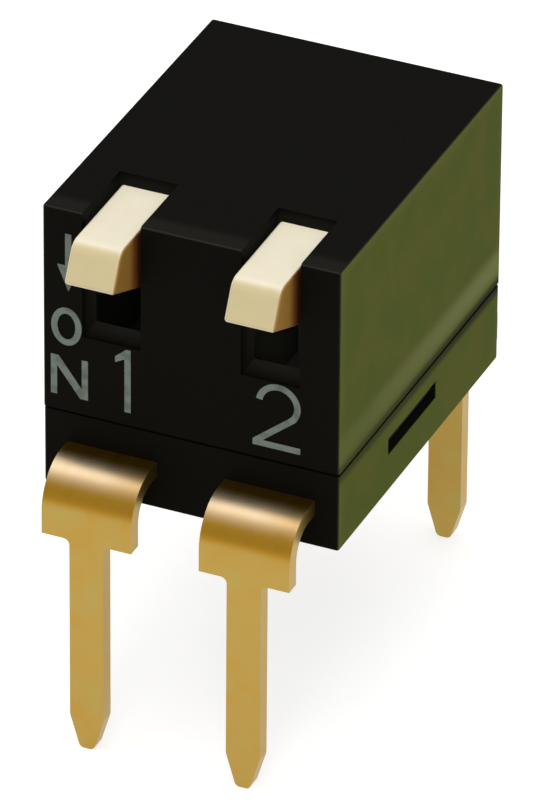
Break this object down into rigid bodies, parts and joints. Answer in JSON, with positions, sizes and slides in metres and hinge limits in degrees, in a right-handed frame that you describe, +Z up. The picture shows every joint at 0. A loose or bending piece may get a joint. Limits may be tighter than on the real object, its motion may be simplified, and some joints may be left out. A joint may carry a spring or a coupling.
{
  "type": "piano dip switch",
  "caption": "Piano-style dip switch: black moulded housing, ivory rocking levers at the front, gold-plated through-hole pins at the front and back.",
  "frame": {"origin": "middle of the base's underside, the face that lies over the circuit board", "axes": "+Z up away from the board, -Y the front that the levers point out of, -X the end of position 1"},
  "size_m": [0.0048, 0.0078, 0.0087],
  "materials": {
    "housing_plastic": "moulded black plastic with a faint sheen",
    "lever_plastic": "moulded ivory plastic",
    "contact_metal": "gold-plated spring strip",
    "terminal_metal": "gold-plated stamped strip"
  },
  "bodies": {
    "housing": {"cover": "housing_plastic", "base": "housing_plastic", "front_terminal_1": "terminal_metal", "front_terminal_2": "terminal_metal", "rear_terminal_1": "terminal_metal", "rear_terminal_2": "terminal_metal"},
    "rocker_1": {"lever_1": "lever_plastic", "moving_contact_1": "contact_metal"},
    "rocker_2": {"lever_2": "lever_plastic", "moving_contact_2": "contact_metal"}
  },
  "joints": [
    {"name": "lever_1_rock", "type": "hinge", "parent": "housing", "child": "rocker_1", "pos_m": [-0.00127, 0, 0.00304], "axis": [1, 0, 0], "range_deg": [0, 17]},
    {"name": "lever_2_rock", "type": "hinge", "parent": "housing", "child": "rocker_2", "pos_m": [0.00127, 0, 0.00304], "axis": [1, 0, 0], "range_deg": [0, 17]}
  ]
}
